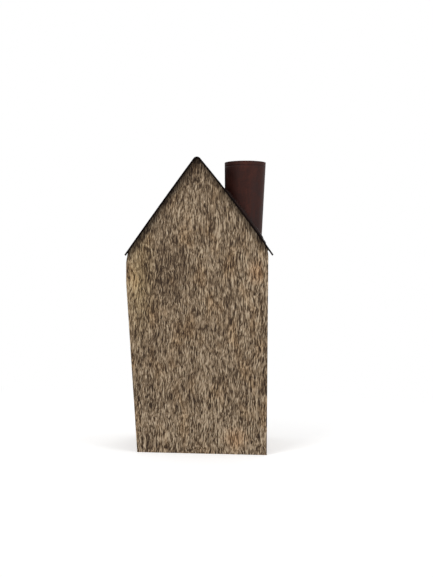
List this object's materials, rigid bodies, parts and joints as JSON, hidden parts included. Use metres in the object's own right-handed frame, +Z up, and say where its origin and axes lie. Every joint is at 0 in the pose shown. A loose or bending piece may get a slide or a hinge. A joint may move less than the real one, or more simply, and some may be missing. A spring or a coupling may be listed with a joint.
{
  "type": "birdhouse",
  "caption": "Gabled wooden birdhouse with a folded metal roof, a metal chimney, an entrance hole and a hinged clean-out door with a turn button.",
  "frame": {"origin": "bottom centre of the bounding box, on the ground under the middle of the roof", "axes": "+Z up, +Y out of the entrance front, -Y out of the plain rear wall, +X towards the chimney side"},
  "size_m": [0.13, 0.13, 0.2596],
  "materials": {
    "rear_board": "matte",
    "side_board": "matte",
    "front_board": "matte",
    "door_board": "matte",
    "floor_board": "matte",
    "dowel_wood": "matte",
    "roof_metal": "satin",
    "chimney_metal": "satin",
    "weld_metal": "rough",
    "nail_steel": "satin",
    "roof_nail_steel": "satin",
    "button_brass": "satin"
  },
  "bodies": {
    "house": {"rear_wall": "rear_board", "left_wall": "side_board", "right_wall": "side_board", "front_gable": "front_board", "floor_board": "floor_board", "roof_sheet": "roof_metal", "chimney_tube": "chimney_metal", "chimney_weld": "weld_metal", "pivot_nails": "nail_steel", "button_screw": "button_brass", "rear_dowels": "dowel_wood", "gable_nails": "nail_steel", "floor_nails": "nail_steel", "roof_nails": "roof_nail_steel"},
    "door": {"clean_out_door": "door_board"},
    "button": {"turn_button": "button_brass"}
  },
  "joints": [
    {"name": "door_hinge", "type": "hinge", "parent": "house", "child": "door", "pos_m": [0, 0.054, 0.128], "axis": [1, 0, 0], "range_deg": [0, 95]},
    {"name": "button_turn", "type": "hinge", "parent": "house", "child": "button", "pos_m": [0.05685, 0.0603, 0.04], "axis": [0, 1, 0], "range_deg": [0, 90]}
  ]
}
